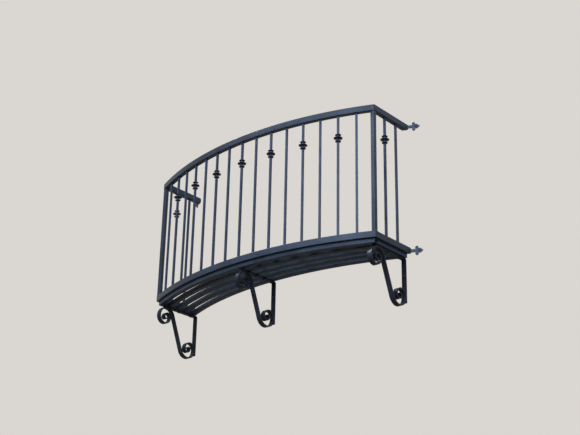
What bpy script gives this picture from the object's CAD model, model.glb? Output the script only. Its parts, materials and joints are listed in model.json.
# Juliet balcony in painted wrought iron: paint, bolts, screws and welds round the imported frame
import json
import math

import bpy
from mathutils import Matrix, Vector


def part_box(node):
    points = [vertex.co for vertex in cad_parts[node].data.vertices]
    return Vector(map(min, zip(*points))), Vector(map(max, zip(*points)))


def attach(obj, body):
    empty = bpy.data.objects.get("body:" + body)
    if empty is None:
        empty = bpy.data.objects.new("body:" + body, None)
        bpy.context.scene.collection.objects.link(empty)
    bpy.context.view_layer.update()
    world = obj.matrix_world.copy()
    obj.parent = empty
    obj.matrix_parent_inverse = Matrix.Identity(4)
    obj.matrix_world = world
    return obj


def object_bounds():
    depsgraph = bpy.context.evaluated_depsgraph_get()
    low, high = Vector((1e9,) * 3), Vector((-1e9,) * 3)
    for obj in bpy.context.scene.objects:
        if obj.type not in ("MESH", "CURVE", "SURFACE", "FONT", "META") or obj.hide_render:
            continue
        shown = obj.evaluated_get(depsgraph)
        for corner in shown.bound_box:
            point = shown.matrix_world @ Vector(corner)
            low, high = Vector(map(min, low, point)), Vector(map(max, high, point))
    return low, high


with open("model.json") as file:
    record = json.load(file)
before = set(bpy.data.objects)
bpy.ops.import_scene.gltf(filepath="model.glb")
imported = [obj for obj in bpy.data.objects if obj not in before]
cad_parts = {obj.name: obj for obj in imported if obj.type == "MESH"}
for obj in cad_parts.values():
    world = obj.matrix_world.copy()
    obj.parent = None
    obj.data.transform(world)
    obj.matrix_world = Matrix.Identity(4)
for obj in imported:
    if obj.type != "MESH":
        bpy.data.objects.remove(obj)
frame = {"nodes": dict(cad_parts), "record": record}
cadLow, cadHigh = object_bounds()
nodes = frame["nodes"]
bpy.ops.object.select_all(action="DESELECT")
print("frame loaded,", len(nodes), "nodes")

mm = 0.001

# Sizes that several pieces share, in millimetres, as the frame has them
ironwork = {
    "bendRadius": 2190,  # of the curved face that the balcony is fixed to, and its front bars follow it
    "strapWide": 30,  # flat bar of brackets and scrolls
    "strapThick": 8,
    "barWide": 12.7,  # square balusters
    "postWide": 25.4,
    "railWide": 33,
    "slatWide": 31.75,  # floor bars behind the front one
    "tabThick": 6,
    "tabReach": 69,  # beyond the rail
    "scrollTurn": 65,  # outside radius of a scroll's outermost turn
    "scrollSeat": 1.5,  # ground off it where it meets leg and arm
}


# How far back the curved face lies at x
def faceDepth(x):
    radius = ironwork["bendRadius"] * mm
    return radius - math.sqrt(radius * radius - x * x)


# How far it has turned there, in radians
def faceTurn(x):
    return math.asin(x / (ironwork["bendRadius"] * mm))


# Linear red, green, blue and alpha of an sRGB hex value
def hexToLinear(code):
    shares = [int(code[start:start + 2], 16) / 255 for start in (1, 3, 5)]
    return tuple(
        share / 12.92 if share <= 0.04045 else ((share + 0.055) / 1.055) ** 2.4 for share in shares
    ) + (1,)


# Adds a node, sets its own settings or its sockets, and links sockets to (node, output)
def addNode(tree, kind, settings=(), links=()):
    node = tree.nodes.new(kind)
    for key, value in dict(settings).items():
        if key == "ramp":
            for stop, (place, shade) in zip(node.color_ramp.elements, value):
                stop.position = place
                stop.color = hexToLinear(shade)
        elif isinstance(key, str) and hasattr(node, key):
            setattr(node, key, value)
        else:
            node.inputs[key].default_value = value
    for key, (source, output) in dict(links).items():
        tree.links.new(source.outputs[output], node.inputs[key])
    return node


# A mix node's sockets for colours, which share their names with those for numbers
mixFirst, mixSecond, mixResult = 6, 7, 2


def newMaterial(name):
    material = bpy.data.materials.new(name)
    material.use_nodes = True
    material.node_tree.nodes.clear()
    return material, material.node_tree


# Camera and stage

camera = {
    "place": (4.53521, -5.02795, -2.35583),  # street level, below and right of the balcony
    "yaw": -0.72077,
    "pitch": 0.40828,
    "roll": 0.01908,
    "focalPixels": 1174.54,
    "framePixels": 580,
    "sensorMm": 36,
    "nearest": 0.05,  # metres
    "farthest": 300,
}


def makeCamera():
    bpy.ops.object.camera_add()
    cam = bpy.context.active_object
    cam.name = "photoCamera"
    yaw, pitch, roll = camera["yaw"], camera["pitch"], camera["roll"]
    ahead = Vector((math.sin(yaw) * math.cos(pitch), math.cos(yaw) * math.cos(pitch), math.sin(pitch)))
    levelRight = Vector((math.cos(yaw), -math.sin(yaw), 0))
    levelUp = levelRight.cross(ahead)
    right = levelRight * math.cos(roll) + levelUp * math.sin(roll)
    up = levelUp * math.cos(roll) - levelRight * math.sin(roll)
    turned = Matrix((right, up, -ahead)).transposed().to_4x4()
    cam.matrix_world = Matrix.Translation(camera["place"]) @ turned
    cam.data.sensor_width = camera["sensorMm"]
    cam.data.lens = camera["focalPixels"] * camera["sensorMm"] / camera["framePixels"]
    cam.data.clip_start = camera["nearest"]
    cam.data.clip_end = camera["farthest"]
    bpy.context.scene.camera = cam


stage = {
    "floorLevel": -4.0,  # metres, an eye height below the camera
    "floorHalf": 150,  # from its middle to its rim
    "floorColour": "#ffffff",  # as seen and as mirrored, where the lamps light it
    "floorOwn": 0.86,  # share of its seen colour that needs no lamp, so it is as pale as the backdrop
    "floorBounce": "#4a4845",  # what it throws back on the ironwork
    "fadeFrom": 16,  # metres from the balcony where the floor starts to turn into the backdrop
    "fadeTo": 60,
    "backdropColour": "#dad6d1",
    "skyColour": "#cfdcf0",
    "skyStrength": 0.10,
}


# 1 for a surface that is seen, mirrored or looked through, and 0 where it only throws light back
def seenShare(tree):
    path = addNode(tree, "ShaderNodeLightPath")
    seen = addNode(tree, "ShaderNodeMath", {"operation": "MAXIMUM"},
                   {0: (path, "Is Camera Ray"), 1: (path, "Is Glossy Ray")})
    return addNode(tree, "ShaderNodeMath", {"operation": "MAXIMUM"},
                   {0: (seen, 0), 1: (path, "Is Transmission Ray")})


def makeFloor():
    bpy.ops.object.select_all(action="DESELECT")
    bpy.ops.mesh.primitive_plane_add(size=2 * stage["floorHalf"], location=(0, 0, stage["floorLevel"]))
    floor = bpy.context.active_object
    floor.name = "paleFloor"
    material, tree = newMaterial("palePlasterFloor")  # matt trowelled plaster, plain and pale
    coords = addNode(tree, "ShaderNodeTexCoord")
    reach = addNode(tree, "ShaderNodeVectorMath", {"operation": "LENGTH"}, {0: (coords, "Object")})
    fade = addNode(tree, "ShaderNodeMapRange", {
        "interpolation_type": "SMOOTHSTEP", "From Min": stage["fadeFrom"], "From Max": stage["fadeTo"],
    }, {"Value": (reach, "Value")})
    seen = seenShare(tree)
    own = addNode(tree, "ShaderNodeMath", {"operation": "MAXIMUM", 1: stage["floorOwn"]},
                  {0: (fade, "Result")})
    share = addNode(tree, "ShaderNodeMath", {"operation": "MULTIPLY"}, {0: (seen, 0), 1: (own, 0)})
    shade = addNode(tree, "ShaderNodeMix", {
        "data_type": "RGBA",
        mixFirst: hexToLinear(stage["floorBounce"]),
        mixSecond: hexToLinear(stage["floorColour"]),
    }, {0: (seen, 0)})
    plaster = addNode(tree, "ShaderNodeBsdfDiffuse", {}, {"Color": (shade, mixResult)})
    away = addNode(tree, "ShaderNodeEmission",
                   {"Color": hexToLinear(stage["backdropColour"]), "Strength": 1.0})
    mixed = addNode(tree, "ShaderNodeMixShader", {}, {0: (share, 0), 1: (plaster, 0), 2: (away, 0)})
    addNode(tree, "ShaderNodeOutputMaterial", {}, {"Surface": (mixed, 0)})
    floor.data.materials.append(material)


def makeWorld():
    world = bpy.data.worlds.new("softSky")
    bpy.context.scene.world = world
    world.use_nodes = True
    tree = world.node_tree
    tree.nodes.clear()
    seen = seenShare(tree)
    sky = addNode(tree, "ShaderNodeBackground",
                  {"Color": hexToLinear(stage["skyColour"]), "Strength": stage["skyStrength"]})
    backdrop = addNode(tree, "ShaderNodeBackground",
                       {"Color": hexToLinear(stage["backdropColour"]), "Strength": 1.0})
    mixed = addNode(tree, "ShaderNodeMixShader", {}, {0: (seen, 0), 1: (sky, 0), 2: (backdrop, 0)})
    addNode(tree, "ShaderNodeOutputWorld", {}, {"Surface": (mixed, 0)})


softLamps = {
    # name: place, side in metres, watts, colour; all face the balcony's middle
    "openSky": ((2.0, -10.3, 4.6), 7.5, 920, "#c6daf8"),
    "skyRight": ((8.4, -5.0, 2.6), 6.0, 410, "#b4ccf8"),
    "skyOverhead": ((0.5, 0.0, 7.5), 5.0, 150, "#dbe6f7"),
    "rearFill": ((-4.5, 8.5, 3.0), 6.0, 620, "#f2eee8"),
}

# High lamp on the left whose soft-edged cone takes in the balcony's right half and leaves out the left
cornerGlow = {
    "place": (-3.7, -3.3, 6.0),
    "aim": (1.4, -1.9, 0.1),
    "radius": 0.5,
    "coneDegrees": 29.3,
    "edgeBlend": 0.2,
    "watts": 4300,
    "colour": "#dfe4ee",
}


def addLamp(kind, name, place, aim, watts, colour):
    bpy.ops.object.light_add(type=kind, location=place)
    lamp = bpy.context.active_object
    lamp.name = name
    lamp.data.energy = watts
    lamp.data.color = hexToLinear(colour)[:3]
    lamp.rotation_euler = (Vector(aim) - Vector(place)).to_track_quat("-Z", "Y").to_euler()
    lamp.visible_camera = False
    return lamp.data


def makeLamps():
    middle = (cadLow + cadHigh) / 2
    for name, (place, side, watts, colour) in softLamps.items():
        panel = addLamp("AREA", name, place, middle, watts, colour)
        panel.shape = "SQUARE"
        panel.size = side
    beam = addLamp("SPOT", "cornerGlow", cornerGlow["place"], cornerGlow["aim"],
                   cornerGlow["watts"], cornerGlow["colour"])
    beam.shadow_soft_size = cornerGlow["radius"]
    beam.spot_size = math.radians(cornerGlow["coneDegrees"])
    beam.spot_blend = cornerGlow["edgeBlend"]


makeCamera()
makeFloor()
makeWorld()
makeLamps()
print("camera and stage ready")


# Paint on iron

enamel = {
    "toneFrom": 0.35,  # where the tone pattern is all deep
    "toneTo": 0.68,  # and where it is all pale
    "streak": "#4a4f55",  # what rain leaves on upright faces
    "streakWideMm": 9,
    "streakLongMm": 190,
    "dust": "#77716a",  # lies on what faces up
    "fleckMm": 22,
    "grime": "#0e1013",  # street dirt that stays where rain and brush don't reach
    "grimeReachMm": 45,
    "underSoot": 0.85,  # share of it on faces that look down
    "worn": "#6a5a4c",  # primer and rust at edges that have lost their paint
    "chipMm": 7,
    "satinMm": 14,  # across a patch that is shinier or duller than its neighbours
    "shinier": 0.05,  # less roughness there
    "duller": 0.07,  # or more
    "dirtDulls": 0.3,  # more again where dirt lies fully
}

# Range over which each pattern goes from nothing to all of it
fadeIn = {
    "streaks": {"From Min": 0.52, "From Max": 0.78},  # by noise
    "upright": {"From Min": 0.7, "From Max": 0.2},  # by slope: 1 is level, 0 is upright
    "facingUp": {"From Min": 0.55, "From Max": 0.98},  # by the height of the normal
    "facingDown": {"From Min": -0.5, "From Max": -0.95},
    "flecks": {"From Min": 0.3, "From Max": 0.75, "To Min": 0.25, "To Max": 1.0},  # a film lies everywhere
    "corners": {"From Min": 0.85, "From Max": 0.3},  # by how open the place is
    "rims": {"From Min": 0.97, "From Max": 0.8},  # by how well the rounded normal fits the face
    "chips": {"From Min": 0.5, "From Max": 0.62},  # by noise, as the next one
    "satin": {"From Min": 0.3, "From Max": 0.7},
}


# Satin enamel on iron: streaks, dust, grime and wear over a paint of two close tones, and in relief
# the marks of the brush, the skin of the paint and the dents of the bar under it
def satinEnamel(look):
    material, tree = newMaterial(look["name"])
    coords = addNode(tree, "ShaderNodeTexCoord")
    here = (coords, "Object")
    facing = addNode(tree, "ShaderNodeNewGeometry")
    split = addNode(tree, "ShaderNodeSeparateXYZ", {}, {0: (facing, "Normal")})
    rise = (split, "Z")  # 1 on a face that looks up, -1 on one that looks down

    # the paint's two tones, in soft patches
    tone = addNode(tree, "ShaderNodeTexNoise", {"Scale": 1 / (look["toneMm"] * mm), "Detail": 4.0},
                   {"Vector": here})
    colour = addNode(tree, "ShaderNodeValToRGB", {
        "ramp": [(enamel["toneFrom"], look["deep"]), (enamel["toneTo"], look["pale"])],
    }, {"Fac": (tone, "Fac")})

    # rain streaks, drawn out down the upright faces
    across, along = 1 / (enamel["streakWideMm"] * mm), 1 / (enamel["streakLongMm"] * mm)
    tall = addNode(tree, "ShaderNodeMapping", {"Scale": (across, across, along)}, {"Vector": here})
    runs = addNode(tree, "ShaderNodeTexNoise", {"Scale": 1.0, "Detail": 3.0}, {"Vector": (tall, "Vector")})
    runShare = addNode(tree, "ShaderNodeMapRange", {**fadeIn["streaks"], "To Max": look["streaks"]},
                       {"Value": (runs, "Fac")})
    slope = addNode(tree, "ShaderNodeMath", {"operation": "ABSOLUTE"}, {0: rise})
    upright = addNode(tree, "ShaderNodeMapRange", fadeIn["upright"], {"Value": (slope, 0)})
    streaked = addNode(tree, "ShaderNodeMath", {"operation": "MULTIPLY"},
                       {0: (runShare, 0), 1: (upright, 0)})
    withRuns = addNode(tree, "ShaderNodeMix",
                       {"data_type": "RGBA", mixSecond: hexToLinear(enamel["streak"])},
                       {0: (streaked, 0), mixFirst: (colour, "Color")})

    # dust, fleck by fleck
    flecks = addNode(tree, "ShaderNodeTexNoise", {
        "Scale": 1 / (enamel["fleckMm"] * mm), "Detail": 6.0, "Roughness": 0.7,
    }, {"Vector": here})
    top = addNode(tree, "ShaderNodeMapRange", fadeIn["facingUp"], {"Value": rise})
    lies = addNode(tree, "ShaderNodeMapRange", fadeIn["flecks"], {"Value": (flecks, "Fac")})
    dusty = addNode(tree, "ShaderNodeMath", {"operation": "MULTIPLY"}, {0: (top, 0), 1: (lies, 0)})
    dustShare = addNode(tree, "ShaderNodeMath", {"operation": "MULTIPLY", 1: look["dust"]}, {0: (dusty, 0)})
    withDust = addNode(tree, "ShaderNodeMix",
                       {"data_type": "RGBA", mixSecond: hexToLinear(enamel["dust"])},
                       {0: (dustShare, 0), mixFirst: (withRuns, mixResult)})

    # grime in corners and soot underneath
    pinch = addNode(tree, "ShaderNodeAmbientOcclusion",
                    {"samples": 6, "Distance": enamel["grimeReachMm"] * mm})
    hidden = addNode(tree, "ShaderNodeMapRange", {**fadeIn["corners"], "To Max": look["grime"]},
                     {"Value": (pinch, "AO")})
    under = addNode(tree, "ShaderNodeMapRange", {**fadeIn["facingDown"], "To Max": enamel["underSoot"]},
                    {"Value": rise})
    sheltered = addNode(tree, "ShaderNodeMath", {"operation": "MAXIMUM"}, {0: (hidden, 0), 1: (under, 0)})
    withGrime = addNode(tree, "ShaderNodeMix",
                        {"data_type": "RGBA", mixSecond: hexToLinear(enamel["grime"])},
                        {0: (sheltered, 0), mixFirst: (withDust, mixResult)})

    # paint chipped off the edges, found where a rounded normal would leave the face's own
    rounded = addNode(tree, "ShaderNodeBevel", {"samples": 4, "Radius": look["wearMm"] * mm})
    same = addNode(tree, "ShaderNodeVectorMath", {"operation": "DOT_PRODUCT"},
                   {0: (rounded, 0), 1: (facing, "True Normal")})
    rim = addNode(tree, "ShaderNodeMapRange", fadeIn["rims"], {"Value": (same, "Value")})
    chips = addNode(tree, "ShaderNodeTexNoise", {
        "Scale": 1 / (enamel["chipMm"] * mm), "Detail": 5.0, "Roughness": 0.65,
    }, {"Vector": here})
    chipped = addNode(tree, "ShaderNodeMapRange", {**fadeIn["chips"], "To Max": look["wear"]},
                      {"Value": (chips, "Fac")})
    wornShare = addNode(tree, "ShaderNodeMath", {"operation": "MULTIPLY"}, {0: (rim, 0), 1: (chipped, 0)})
    withWear = addNode(tree, "ShaderNodeMix",
                       {"data_type": "RGBA", mixSecond: hexToLinear(enamel["worn"])},
                       {0: (wornShare, 0), mixFirst: (withGrime, mixResult)})

    # roughness in patches, and duller where dirt lies
    satin = addNode(tree, "ShaderNodeTexNoise", {"Scale": 1 / (enamel["satinMm"] * mm), "Detail": 4.0},
                    {"Vector": here})
    gloss = addNode(tree, "ShaderNodeMapRange", {
        **fadeIn["satin"],
        "To Min": look["rough"] - enamel["shinier"],
        "To Max": look["rough"] + enamel["duller"],
    }, {"Value": (satin, "Fac")})
    dirt = addNode(tree, "ShaderNodeMath", {"operation": "MAXIMUM"}, {0: (dustShare, 0), 1: (sheltered, 0)})
    dull = addNode(tree, "ShaderNodeMath", {"operation": "MULTIPLY_ADD", 1: enamel["dirtDulls"]},
                   {0: (dirt, 0), 2: (gloss, 0)})

    # relief of brush marks, dried skin and dents
    alongBar = addNode(tree, "ShaderNodeMapping",
                       {"Scale": tuple(1 / (side * mm) for side in look["brushMm"])}, {"Vector": here})
    brush = addNode(tree, "ShaderNodeTexNoise", {"Scale": 1.0, "Detail": 3.0, "Roughness": 0.6},
                    {"Vector": (alongBar, "Vector")})
    drawn = addNode(tree, "ShaderNodeBump", {"Strength": 0.7, "Distance": look["brushDeep"] * mm},
                    {"Height": (brush, "Fac")})
    peel = addNode(tree, "ShaderNodeTexNoise", {"Scale": 1 / (look["peelMm"] * mm), "Detail": 2.0},
                   {"Vector": here})
    skin = addNode(tree, "ShaderNodeBump", {"Strength": 0.5, "Distance": look["peelDeep"] * mm},
                   {"Height": (peel, "Fac"), "Normal": (drawn, "Normal")})
    dents = addNode(tree, "ShaderNodeTexVoronoi", {
        "feature": "SMOOTH_F1", "Scale": 1 / (look["dentMm"] * mm), "Smoothness": 1.0,
    }, {"Vector": here})
    bumped = addNode(tree, "ShaderNodeBump", {"Strength": 0.6, "Distance": look["dentDeep"] * mm},
                     {"Height": (dents, "Distance"), "Normal": (skin, "Normal")})
    paint = addNode(tree, "ShaderNodeBsdfPrincipled", {
        "Metallic": 0.0, "IOR": 1.5, "Specular IOR Level": look["shine"],
    }, {"Base Color": (withWear, mixResult), "Roughness": (dull, 0), "Normal": (bumped, "Normal")})
    addNode(tree, "ShaderNodeOutputMaterial", {}, {"Surface": (paint, 0)})
    return material


# Patterns are sized in millimetres. Real brush marks are finer than 1 mm, and these are drawn wider
# so that they show
finishes = {
    # rolled tube under a brushed coat: broad even highlights, with brush marks along the rail
    "rails": {
        "name": "satinEnamelOnTube",
        "deep": "#2f3842", "pale": "#404d5c", "toneMm": 160,  # the two tones and how wide a patch is
        "streaks": 0.35, "dust": 0.5, "grime": 0.55,  # how much of each shows, up to 1
        "wear": 0.5, "wearMm": 2.0,  # and of wear, with how far it comes in from an edge
        "rough": 0.36, "shine": 0.24,  # roughness and specular level
        "brushMm": (70, 70, 2.2), "brushDeep": 0.1,  # length of the marks on x, y and z
        "peelMm": 2.2, "peelDeep": 0.08,  # ripple of the dried skin
        "dentMm": 60, "dentDeep": 0.05,
    },
    # drawn square bar: thin bright edges, faces a little bluer, with brush marks up the bar
    "balusters": {
        "name": "satinEnamelOnSquareBar",
        "deep": "#2d3a48", "pale": "#3f5167", "toneMm": 90,
        "streaks": 0.4, "dust": 0.5, "grime": 0.35,
        "wear": 0.6, "wearMm": 1.5,
        "rough": 0.36, "shine": 0.28,
        "brushMm": (2.0, 2.0, 80), "brushDeep": 0.1,
        "peelMm": 1.8, "peelDeep": 0.1,
        "dentMm": 24, "dentDeep": 0.12,
    },
    # tube open to feet and rain: greyer and duller, with dust on top and soot below
    "floor": {
        "name": "dustyEnamelOnTube",
        "deep": "#333d47", "pale": "#465463", "toneMm": 120,
        "streaks": 0.5, "dust": 0.75, "grime": 0.8,
        "wear": 0.7, "wearMm": 2.0,
        "rough": 0.42, "shine": 0.2,
        "brushMm": (70, 70, 2.2), "brushDeep": 0.12,
        "peelMm": 2.2, "peelDeep": 0.1,
        "dentMm": 60, "dentDeep": 0.05,
    },
    # flat bar bent hot, in the floor's shade: near black with little gloss, its faces faintly dented
    "brackets": {
        "name": "satinEnamelOnFlatBar",
        "deep": "#20262d", "pale": "#2c343e", "toneMm": 80,
        "streaks": 0.4, "dust": 0.5, "grime": 0.7,
        "wear": 0.7, "wearMm": 1.5,
        "rough": 0.38, "shine": 0.1,
        "brushMm": (2.2, 50, 50), "brushDeep": 0.12,
        "peelMm": 1.8, "peelDeep": 0.12,
        "dentMm": 16, "dentDeep": 0.25,
    },
    # bar rolled at the anvil: hammer dents break its dark highlights into short patches
    "scrolls": {
        "name": "satinEnamelOnForgedBar",
        "deep": "#1e242b", "pale": "#2b333d", "toneMm": 60,
        "streaks": 0.3, "dust": 0.5, "grime": 0.6,
        "wear": 0.7, "wearMm": 1.5,
        "rough": 0.4, "shine": 0.14,
        "brushMm": (2.2, 40, 40), "brushDeep": 0.12,
        "peelMm": 1.8, "peelDeep": 0.12,
        "dentMm": 13, "dentDeep": 0.4,
    },
    # plate sawn to a leaf and hammered flat: as the rails, with small dents
    "tabs": {
        "name": "satinEnamelOnCutPlate",
        "deep": "#2f3842", "pale": "#424f5f", "toneMm": 40,
        "streaks": 0.3, "dust": 0.5, "grime": 0.4,
        "wear": 0.7, "wearMm": 1.2,
        "rough": 0.36, "shine": 0.28,
        "brushMm": (30, 30, 1.8), "brushDeep": 0.08,
        "peelMm": 1.6, "peelDeep": 0.1,
        "dentMm": 12, "dentDeep": 0.2,
    },
    # zinc-plated bolts painted over with the rest: the paint worn through on their corners
    "fasteners": {
        "name": "enamelOverZincBolt",
        "deep": "#232931", "pale": "#343d47", "toneMm": 10,
        "streaks": 0.2, "dust": 0.4, "grime": 0.5,
        "wear": 0.9, "wearMm": 0.8,
        "rough": 0.36, "shine": 0.3,
        "brushMm": (3, 3, 3), "brushDeep": 0.04,
        "peelMm": 1.2, "peelDeep": 0.06,
        "dentMm": 6, "dentDeep": 0.08,
    },
    # black oxide from the maker, left unpainted: the darkest and smoothest of all
    "screws": {
        "name": "blackenedSteelScrew",
        "deep": "#15171a", "pale": "#22262b", "toneMm": 6,
        "streaks": 0.1, "dust": 0.2, "grime": 0.5,
        "wear": 0.8, "wearMm": 0.6,
        "rough": 0.3, "shine": 0.35,
        "brushMm": (3, 3, 3), "brushDeep": 0.04,
        "peelMm": 1.0, "peelDeep": 0.04,
        "dentMm": 5, "dentDeep": 0.05,
    },
    # thick paint over unground weld: dull, with small glints on its lumps
    "welds": {
        "name": "enamelOverWeld",
        "deep": "#2c343d", "pale": "#3b4755", "toneMm": 14,
        "streaks": 0.2, "dust": 0.5, "grime": 0.4,
        "wear": 0.5, "wearMm": 1.0,
        "rough": 0.42, "shine": 0.28,
        "brushMm": (3, 3, 3), "brushDeep": 0.04,
        "peelMm": 1.4, "peelDeep": 0.18,
        "dentMm": 5, "dentDeep": 0.3,
    },
}
paints = {part: satinEnamel(look) for part, look in finishes.items()}

nodeEdges = {
    # radius of each bar's drawn or sawn edges, in millimetres
    "roundMm": {"rails": 3.0, "balusters": 0.9, "floor": 2.4, "brackets": 1.1, "scrolls": 1.2, "tabs": 0.8},
    "segments": 2,
    "sharpDegrees": 35,  # an edge that turns more is rounded
    "flatDegrees": 0.3,  # triangles that turn less against each other are one face
    "mergeMm": 0.01,
}


def finishNodes():
    slots = {row["node"]: row["material_slot"] for row in frame["record"]["subparts"]}
    for name, node in nodes.items():
        slot = slots[name]
        node.data.materials.clear()
        node.data.materials.append(paints[slot])
        merged = node.modifiers.new("weldPoints", "WELD")
        merged.merge_threshold = nodeEdges["mergeMm"] * mm
        flat = node.modifiers.new("joinFlats", "DECIMATE")
        flat.decimate_type = "DISSOLVE"
        flat.angle_limit = math.radians(nodeEdges["flatDegrees"])
        edge = node.modifiers.new("roundEdges", "BEVEL")
        edge.width = nodeEdges["roundMm"][slot] * mm
        edge.segments = nodeEdges["segments"]
        edge.limit_method = "ANGLE"
        edge.angle_limit = math.radians(nodeEdges["sharpDegrees"])
        edge.use_clamp_overlap = True
        even = node.modifiers.new("evenShading", "WEIGHTED_NORMAL")
        even.keep_sharp = True


finishNodes()
print("frame painted, with", len(paints), "finishes made")


# Tools that all new pieces share

# Makes one piece the only one that the next tool works on
def pickOnly(piece):
    bpy.ops.object.select_all(action="DESELECT")
    piece.select_set(True)
    bpy.context.view_layer.objects.active = piece


# Rings drawn up from a flat disc, given as (height, middle to corner) in millimetres
def drawUp(name, sides, rings, turned=0.0):
    bpy.ops.object.select_all(action="DESELECT")
    bpy.ops.mesh.primitive_circle_add(vertices=sides, radius=rings[0][1] * mm, fill_type="NGON",
                                      location=(0, 0, rings[0][0] * mm), rotation=(0, 0, turned))
    piece = bpy.context.active_object
    piece.name = name
    bpy.ops.object.transform_apply()
    bpy.ops.object.mode_set(mode="EDIT")
    bpy.ops.mesh.select_mode(type="FACE")
    bpy.ops.mesh.select_all(action="SELECT")
    for (low, wide), (high, narrow) in zip(rings, rings[1:]):
        bpy.ops.mesh.extrude_region_move(TRANSFORM_OT_translate={"value": (0, 0, (high - low) * mm)})
        bpy.ops.transform.resize(value=(narrow / wide, narrow / wide, 1), center_override=(0, 0, high * mm))
    bpy.ops.mesh.select_all(action="SELECT")
    bpy.ops.mesh.normals_make_consistent(inside=False)
    bpy.ops.object.mode_set(mode="OBJECT")
    return piece


# Cuts a piece with another one, or keeps only what both share, and takes the other away
def cutWith(piece, tool, operation):
    cut = piece.modifiers.new("cut", "BOOLEAN")
    cut.object = tool
    cut.operation = operation
    cut.solver = "EXACT"
    pickOnly(piece)
    bpy.ops.object.modifier_apply(modifier="cut")
    bpy.data.objects.remove(tool)


def joinUp(pieces, name):
    pickOnly(pieces[0])
    for piece in pieces:
        piece.select_set(True)
    bpy.ops.object.join()
    joined = bpy.context.active_object
    joined.name = name
    return joined


def copyTo(model, name, place):
    pickOnly(model)
    bpy.ops.object.duplicate(linked=False)
    twin = bpy.context.active_object
    twin.name = name
    twin.matrix_world = place
    bpy.ops.object.transform_apply()
    return twin


# Gives a finished piece its paint, its slot and its body
def dress(piece, finish, sharpDegrees):
    pickOnly(piece)
    bpy.ops.object.shade_smooth_by_angle(angle=math.radians(sharpDegrees))
    piece.data.materials.clear()
    piece.data.materials.append(paints[finish])
    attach(piece, "root")


# Bolts and screws

lap = 0.1  # millimetres that the forms of one fastener reach into each other

hexBolt = {
    # an 8 mm bolt with its washer, in millimetres
    "acrossCorners": 15.0,
    "headHigh": 5.3,
    "topRadius": 6.1,  # of the flat inside the chamfer
    "coneRadius": 9.0,  # of the cone that cuts the chamfer, where it is widest
    "coneDrop": 1.7,  # from the flat down to there
    "coneUnder": 1.0,  # how far the cone starts below the head
    "lidHigh": 0.01,  # its end, just above the flat
    "lidRadius": 6.0,
    "washerRadius": 9.5,
    "washerThick": 1.8,
    "washerEdge": 0.3,  # bevel at its rims
    "roundSides": 32,
    "shankRadius": 4.0,
    "shankTip": 0.7,
}
shankSides = 16


# Shank that hangs from z = 0 and ends in a bevelled tip
def makeShank(long, radius, tip):
    return drawUp("shank", shankSides, [(-long, radius - tip), (tip - long, radius), (lap, radius)])


def makeHexBolt(shankLong):
    foot, top = hexBolt["washerThick"], hexBolt["washerThick"] + hexBolt["headHigh"]
    corner = hexBolt["acrossCorners"] / 2
    head = drawUp("hexHead", 6, [(foot - lap, corner), (top, corner)])
    cone = drawUp("headCone", hexBolt["roundSides"], [
        (foot - hexBolt["coneUnder"], hexBolt["coneRadius"]),
        (top - hexBolt["coneDrop"], hexBolt["coneRadius"]),
        (top, hexBolt["topRadius"]),
        (top + hexBolt["lidHigh"], hexBolt["lidRadius"]),
    ])
    cutWith(head, cone, "INTERSECT")
    rim, edge = hexBolt["washerRadius"], hexBolt["washerEdge"]
    washer = drawUp("washer", hexBolt["roundSides"],
                    [(0, rim - edge), (edge, rim), (foot - edge, rim), (foot, rim - edge)])
    shank = makeShank(shankLong, hexBolt["shankRadius"], hexBolt["shankTip"])
    return joinUp([head, washer, shank], "hexBolt")


domeScrew = {
    # a 6 mm screw with crossed slots, in millimetres
    "headRadius": 6.6,
    "headHigh": 3.4,
    "rimHigh": 0.4,  # of the bevel under the head's rim
    "rimIn": 0.2,
    # the dome above it, as shares of the head's height and radius
    "dome": [(0.4, 0.96), (0.68, 0.82), (0.87, 0.6), (0.97, 0.36), (1, 0.12)],
    "headSides": 28,
    "slotLong": 5.4,
    "slotWide": 1.2,
    "slotDeep": 2.0,
    "shankLong": 5.6,
    "shankRadius": 3.0,
    "shankTip": 0.6,
}


def makeDomeScrew():
    radius, high = domeScrew["headRadius"], domeScrew["headHigh"]
    rings = [(0, radius - domeScrew["rimIn"]), (domeScrew["rimHigh"], radius)]
    rings += [(up * high, out * radius) for up, out in domeScrew["dome"]]
    head = drawUp("domeHead", domeScrew["headSides"], rings)
    for turned in (0.0, math.pi / 2):
        bpy.ops.object.select_all(action="DESELECT")
        bpy.ops.mesh.primitive_cube_add(
            size=mm, location=(0, 0, high * mm), rotation=(0, 0, turned),
            scale=(domeScrew["slotLong"], domeScrew["slotWide"], 2 * domeScrew["slotDeep"]))
        blade = bpy.context.active_object
        bpy.ops.object.transform_apply()
        cutWith(head, blade, "DIFFERENCE")
    shank = makeShank(domeScrew["shankLong"], domeScrew["shankRadius"], domeScrew["shankTip"])
    return joinUp([head, shank], "domeScrew")


fastening = {
    "legShank": 7.5,  # millimetres, inside the leg's hole
    "armShank": 4.0,  # inside the arm
    # how far from the curved face the arms' bolts stand, in millimetres: in a side tube or in a slat
    "endArm": (53, 157),
    "middleArm": (98, 168),
    # radians that the heads are turned, so that none stands quite square
    "legTurn": 0.35,
    "armTurn": 0.4,  # times the bolt's number
    "screwTurn": 0.5,
    "sharpDegrees": 30,
}


# Where a bore opens to the front, with +Z standing out of it
def boreMouth(mount):
    out = Vector(mount["axis"])
    half = mount["dims"]["length_mm"] / 2 * mm
    turned = out.to_track_quat("Z", "Y").to_matrix().to_4x4()
    return Matrix.Translation(Vector(mount["pos_m"]) + out * half) @ turned


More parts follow.
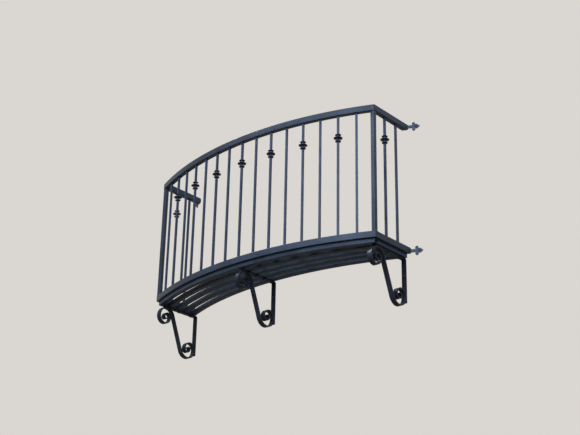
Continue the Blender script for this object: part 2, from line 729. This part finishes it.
def makeFasteners():
    legBolt = makeHexBolt(fastening["legShank"])
    armBolt = makeHexBolt(fastening["armShank"])
    screw = makeDomeScrew()
    sharp = fastening["sharpDegrees"]
    legTurn = Matrix.Rotation(fastening["legTurn"], 4, "Z")
    screwTurn = Matrix.Rotation(fastening["screwTurn"], 4, "Z")
    for mount in frame["record"]["mounts"]:
        if mount["kind"] != "bore":
            continue
        carrier, where = mount["name"].split("_hole_")
        place = boreMouth(mount)
        if carrier == "leg":
            dress(copyTo(legBolt, "legBolt_" + where, place @ legTurn), "fasteners", sharp)
        else:
            dress(copyTo(screw, "tabScrew_" + where, place @ screwTurn), "screws", sharp)
    headDown = Matrix.Rotation(math.pi, 4, "X")
    for side in ("left", "middle", "right"):
        low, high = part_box("bracket_" + side)
        x = (low.x + high.x) / 2
        spots = fastening["middleArm"] if side == "middle" else fastening["endArm"]
        for number, back in enumerate(spots, 1):
            under = (x, faceDepth(x) - back * mm, high.z - ironwork["strapThick"] * mm)
            armTurn = Matrix.Rotation(fastening["armTurn"] * number, 4, "Z")
            place = Matrix.Translation(under) @ headDown @ armTurn
            dress(copyTo(armBolt, f"armBolt_{side}_{number}", place), "fasteners", sharp)
    for model in (legBolt, armBolt, screw):
        bpy.data.objects.remove(model)


# Welds

weld = {
    # millimetres, but for shares and degrees
    "filletHigh": 3.2,  # round a bar's foot, up the bar
    "filletOut": 3.0,  # and out along the rail
    "filletSunk": 0.4,  # into the rail
    "filletRim": 0.35,  # height of its outer rim
    "filletHollow": [(0.3, 0.6), (0.6, 0.3)],  # its face, as shares of filletHigh and filletOut
    "filletTop": 0.15,  # how far its top stands off the bar
    "filletHalvings": 2,  # of its faces before they are lumped
    "ripple": 2.3,  # from one ripple of a bead to the next
    "rippleDip": 0.84,  # share of a bead's radius between two ripples
    "beadSides": 10,
    "beadTip": 0.3,  # share of its radius at the ends
    "beadTipLong": 0.5,
    "lumpWide": 1.6,
    "lumpHigh": 0.7,  # from its deepest to its highest, of which the pattern reaches about half
    "sharpDegrees": 60,
    "scrollBead": 2.2,  # radius of a bead beside a scroll's seat
    "scrollInset": 1,  # each end of it short of the bar's edge
    "scrollBeside": 1.4,  # from the end of the seat to its middle
    "scrollOff": 0.9,  # and from the face of arm or leg
    "slatBead": 1.9,  # radius of one at a slat's end
    "slatInset": 0.3,  # how far its middle lies within the slat's height
    "tabBead": 1.8,  # radius of one between tab and rail
    "trim": 0.1,  # how far a post's fillet ends inside the rail's outer face
}


# Lumps a weld as the rod leaves it; the lumps follow the place of a point, so each run gives the same
def lump(piece, halvings=0):
    pickOnly(piece)
    if halvings:
        finer = piece.modifiers.new("finer", "SUBSURF")
        finer.subdivision_type = "SIMPLE"
        finer.levels = finer.render_levels = halvings
        bpy.ops.object.modifier_apply(modifier="finer")
    lumps = bpy.data.textures.new("rodLumps", "CLOUDS")
    lumps.noise_scale = weld["lumpWide"] * mm
    rough = piece.modifiers.new("rough", "DISPLACE")
    rough.texture = lumps
    rough.strength = weld["lumpHigh"] * mm
    bpy.ops.object.modifier_apply(modifier="rough")
    bpy.data.textures.remove(lumps)


# Fillet round the foot of a square bar, on a rail at z = 0
def makeFootWeld(wide):
    half, high, out = wide / 2, weld["filletHigh"], weld["filletOut"]
    rings = [(-weld["filletSunk"], half + out), (weld["filletRim"], half + out)]
    rings += [(up * high, half + along * out) for up, along in weld["filletHollow"]]
    rings.append((high, half + weld["filletTop"]))
    square = [(z, side * math.sqrt(2)) for z, side in rings]
    piece = drawUp("footWeld", 4, square, math.pi / 4)
    lump(piece, weld["filletHalvings"])
    return piece


# Bead along z with the ripples of the rod, its middle at the origin
def makeBead(long, radius):
    steps = round(long / weld["ripple"])
    tip, tipLong = radius * weld["beadTip"], weld["beadTipLong"]
    rings = [(-long / 2, tip)]
    for number in range(steps + 1):
        z = -long / 2 + tipLong + (long - 2 * tipLong) * number / steps
        rings.append((z, radius * (1.0 if number % 2 else weld["rippleDip"])))
    rings.append((long / 2, tip))
    piece = drawUp("bead", weld["beadSides"], rings)
    lump(piece)
    return piece


# Trims a post's weld at the outer face of the front rail
def trimAtRail(piece, x, y, bent):
    outward = Vector((math.sin(bent), -math.cos(bent), 0))
    edge = Vector((x, y, 0)) + outward * (ironwork["railWide"] / 2 - weld["trim"]) * mm
    pickOnly(piece)
    bpy.ops.object.mode_set(mode="EDIT")
    bpy.ops.mesh.select_all(action="SELECT")
    bpy.ops.mesh.bisect(plane_co=edge, plane_no=outward, use_fill=True, clear_outer=True)
    bpy.ops.object.mode_set(mode="OBJECT")
    return piece


# Joins the beads or fillets of one place into a finished piece
def finishWeld(copies, name):
    dress(joinUp(copies, name), "welds", weld["sharpDegrees"])


# Fillets round both ends of each baluster and post
def weldBars():
    barWeld = makeFootWeld(ironwork["barWide"])
    postWeld = makeFootWeld(ironwork["postWide"])
    upsideDown = Matrix.Rotation(math.pi, 4, "X")
    for end in ("bottom", "top"):
        atBars, atPosts = [], []
        for name in nodes:
            isPost = name.startswith("post")
            if not isPost and "baluster" not in name:
                continue
            low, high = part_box(name)
            x, y = (low.x + high.x) / 2, (low.y + high.y) / 2
            bent = faceTurn(x)
            place = Matrix.Translation((x, y, low.z if end == "bottom" else high.z))
            if name.startswith("baluster"):  # one in the front, which turns with the bend
                place = place @ Matrix.Rotation(bent, 4, "Z")
            if end == "top":
                place = place @ upsideDown
            if isPost:
                atPosts.append(trimAtRail(copyTo(postWeld, "copy", place), x, y, bent))
            else:
                atBars.append(copyTo(barWeld, "copy", place))
        finishWeld(atBars, "balusterWelds_" + end)
        finishWeld(atPosts, "postWelds_" + end)
    bpy.data.objects.remove(barWeld)
    bpy.data.objects.remove(postWeld)


# Beads on both sides of each scroll's seats, under the arm and on the leg
def weldScrolls():
    bead = makeBead(ironwork["strapWide"] - 2 * weld["scrollInset"], weld["scrollBead"])
    alongX = Matrix.Rotation(math.pi / 2, 4, "Y")
    turn, off = ironwork["scrollTurn"], weld["scrollOff"]
    halfSeat = math.sqrt(turn ** 2 - (turn - ironwork["scrollSeat"]) ** 2)
    aside = halfSeat + weld["scrollBeside"]
    for side in ("left", "middle", "right"):
        low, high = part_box("scroll_" + side)
        x = (low.x + high.x) / 2
        armSeat, legSeat = low.y + turn * mm, low.z + turn * mm  # y of the one, z of the other
        underArm, onLeg = high.z - off * mm, faceDepth(x) - (ironwork["strapThick"] + off) * mm
        spots = [(x, armSeat + step * mm, underArm) for step in (-aside, aside)]
        spots += [(x, onLeg, legSeat + step * mm) for step in (-aside, aside)]
        beads = [copyTo(bead, "copy", Matrix.Translation(spot) @ alongX) for spot in spots]
        finishWeld(beads, "scrollWelds_" + side)
    bpy.data.objects.remove(bead)


# Beads where the ends of the slats meet the side tubes, above and below
def weldFloor():
    bead = makeBead(ironwork["slatWide"], weld["slatBead"])
    alongY = Matrix.Rotation(math.pi / 2, 4, "X")
    inset = weld["slatInset"] * mm
    beads = []
    for number in range(2, 6):  # floor_bar_1 is the front bar
        low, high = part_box(f"floor_bar_{number}")
        half = ironwork["slatWide"] / 2 * mm / math.cos(faceTurn(high.x))
        back = faceDepth(high.x) - high.y + half  # from the curved face to the slat's middle
        for x in (low.x, high.x):
            for z in (low.z + inset, high.z - inset):
                place = Matrix.Translation((x, faceDepth(x) - back, z)) @ alongY
                beads.append(copyTo(bead, "copy", place))
    finishWeld(beads, "floorWelds")
    bpy.data.objects.remove(bead)


# Upright beads where the rails' ends meet the tabs behind them
def weldTabs():
    bead = makeBead(ironwork["railWide"], weld["tabBead"])
    beads = []
    for rail in ("handrail_", "bottom_rail_"):
        for side, sign in (("left", -1), ("right", 1)):
            low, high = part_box(rail + side)
            outer = high.x if side == "right" else low.x
            middle = outer + sign * ironwork["tabReach"] / 2 * mm - sign * ironwork["railWide"] / 2 * mm
            bent = faceTurn(middle)
            thick = ironwork["tabThick"] * mm / math.cos(bent)  # of the tab, along y
            for x in (outer, outer - sign * ironwork["railWide"] * mm):
                spot = (x, faceDepth(middle) + (x - middle) * math.tan(bent) - thick, (low.z + high.z) / 2)
                beads.append(copyTo(bead, "copy", Matrix.Translation(spot)))
    finishWeld(beads, "tabWelds")
    bpy.data.objects.remove(bead)


makeFasteners()
print("bolts and screws in place")
weldBars()
weldScrolls()
weldFloor()
weldTabs()
print("welds in place")

bpy.context.scene.view_settings.view_transform = "Standard"
